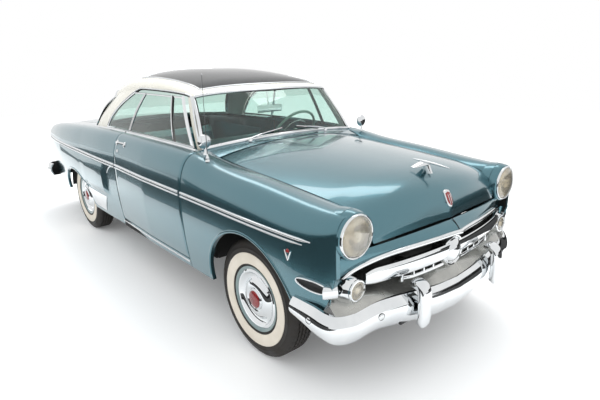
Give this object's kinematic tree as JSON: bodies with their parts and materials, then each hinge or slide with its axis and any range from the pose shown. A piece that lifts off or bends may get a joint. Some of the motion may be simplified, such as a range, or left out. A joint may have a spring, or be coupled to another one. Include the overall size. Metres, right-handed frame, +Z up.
{
  "type": "two-door hardtop car",
  "caption": "Mid-1950s two-door hardtop car with a glass roof panel, whitewall tyres, opening doors, hood and trunk lid, steering and rolling wheels.",
  "frame": {"origin": "on the ground, under the middle of the car's length and width", "axes": "+X forward, +Y to the car's left, +Z up"},
  "size_m": [5, 1.7896, 1.578],
  "materials": {
    "paint": "metallic gloss",
    "roof_paint": "gloss",
    "chrome": "polished",
    "frame_black": "satin",
    "underbody": "matt",
    "glass": "clear, pale green tint",
    "roof_glass": "dark smoke tint",
    "lamp": "fluted clear lens",
    "tail_lamp": "red lens",
    "dash": "gloss",
    "wheel_rim": "gloss with chrome cover",
    "tyre": "rubber with a wide white wall",
    "vinyl": "grained vinyl",
    "steering_wheel": "gloss",
    "cast_iron": "painted casting",
    "steel": "plain steel"
  },
  "bodies": {
    "body": {"frame_rails": "frame_black", "crossmembers": "frame_black", "floor_pan": "underbody", "cowl": "paint", "inner_fenders": "underbody", "rear_wheelhouses": "underbody", "front_fender_left": "paint", "front_fender_right": "paint", "quarter_panel_left": "paint", "quarter_panel_right": "paint", "rear_deck": "paint", "tail_panel": "paint", "roof_shell": "roof_paint", "roof_glass": "roof_glass", "windshield_glass": "glass", "rear_window_glass": "glass", "quarter_glass": "glass", "front_panel": "paint", "grille": "chrome", "front_bumper": "chrome", "rear_bumper": "chrome", "front_lamps": "lamp", "tail_lamps": "tail_lamp", "dashboard": "dash", "steering_column": "dash", "front_seat": "vinyl", "rear_seat": "vinyl", "mirrors": "chrome", "antenna": "steel", "engine_block": "cast_iron", "fuel_tank": "steel", "exhaust": "steel", "rear_axle": "cast_iron", "front_suspension": "frame_black"},
    "hood": {"hood": "paint"},
    "trunk_lid": {"trunk_lid": "paint"},
    "door_left": {"door_left": "paint", "door_glass_left": "glass"},
    "door_right": {"door_right": "paint", "door_glass_right": "glass"},
    "steering_wheel": {"steering_wheel": "steering_wheel"},
    "knuckle_left": {"knuckle_left": "cast_iron"},
    "knuckle_right": {"knuckle_right": "cast_iron"},
    "wheel_front_left": {"wheel_front_left": "wheel_rim", "tyre_front_left": "tyre"},
    "wheel_front_right": {"wheel_front_right": "wheel_rim", "tyre_front_right": "tyre"},
    "wheel_rear_left": {"wheel_rear_left": "wheel_rim", "tyre_rear_left": "tyre"},
    "wheel_rear_right": {"wheel_rear_right": "wheel_rim", "tyre_rear_right": "tyre"}
  },
  "joints": [
    {"name": "hood_hinge", "type": "hinge", "parent": "body", "child": "hood", "pos_m": [1.12, 0, 1.112], "axis": [0, -1, 0], "range_deg": [0, 45]},
    {"name": "trunk_hinge", "type": "hinge", "parent": "body", "child": "trunk_lid", "pos_m": [-1.34, 0, 1.078], "axis": [0, 1, 0], "range_deg": [0, 55]},
    {"name": "door_left_hinge", "type": "hinge", "parent": "body", "child": "door_left", "pos_m": [0.99, 0.876, 0.7], "axis": [0, 0, -1], "range_deg": [0, 65]},
    {"name": "door_right_hinge", "type": "hinge", "parent": "body", "child": "door_right", "pos_m": [0.99, -0.876, 0.7], "axis": [0, 0, 1], "range_deg": [0, 65]},
    {"name": "steer_left", "type": "hinge", "parent": "body", "child": "knuckle_left", "pos_m": [1.668, 0.64, 0.345], "axis": [0, 0, 1], "range_deg": [-30, 30]},
    {"name": "steer_right", "type": "hinge", "parent": "body", "child": "knuckle_right", "pos_m": [1.668, -0.64, 0.345], "axis": [0, 0, 1], "range_deg": [-30, 30]},
    {"name": "steering_wheel_turn", "type": "hinge", "parent": "body", "child": "steering_wheel", "pos_m": [0.64, 0.37, 1.06], "axis": [-0.848, 0, 0.5299], "range_deg": [-540, 540]},
    {"name": "spin_front_left", "type": "hinge", "parent": "knuckle_left", "child": "wheel_front_left", "pos_m": [1.668, 0.7365, 0.345], "axis": [0, 1, 0], "continuous": true},
    {"name": "spin_front_right", "type": "hinge", "parent": "knuckle_right", "child": "wheel_front_right", "pos_m": [1.668, -0.7365, 0.345], "axis": [0, 1, 0], "continuous": true},
    {"name": "spin_rear_left", "type": "hinge", "parent": "body", "child": "wheel_rear_left", "pos_m": [-1.266, 0.711, 0.345], "axis": [0, 1, 0], "continuous": true},
    {"name": "spin_rear_right", "type": "hinge", "parent": "body", "child": "wheel_rear_right", "pos_m": [-1.266, -0.711, 0.345], "axis": [0, 1, 0], "continuous": true}
  ],
  "couplings": [
    {"joint": "steer_right", "follows": "steer_left", "ratio": 1},
    {"joint": "steering_wheel_turn", "follows": "steer_left", "ratio": 18}
  ]
}
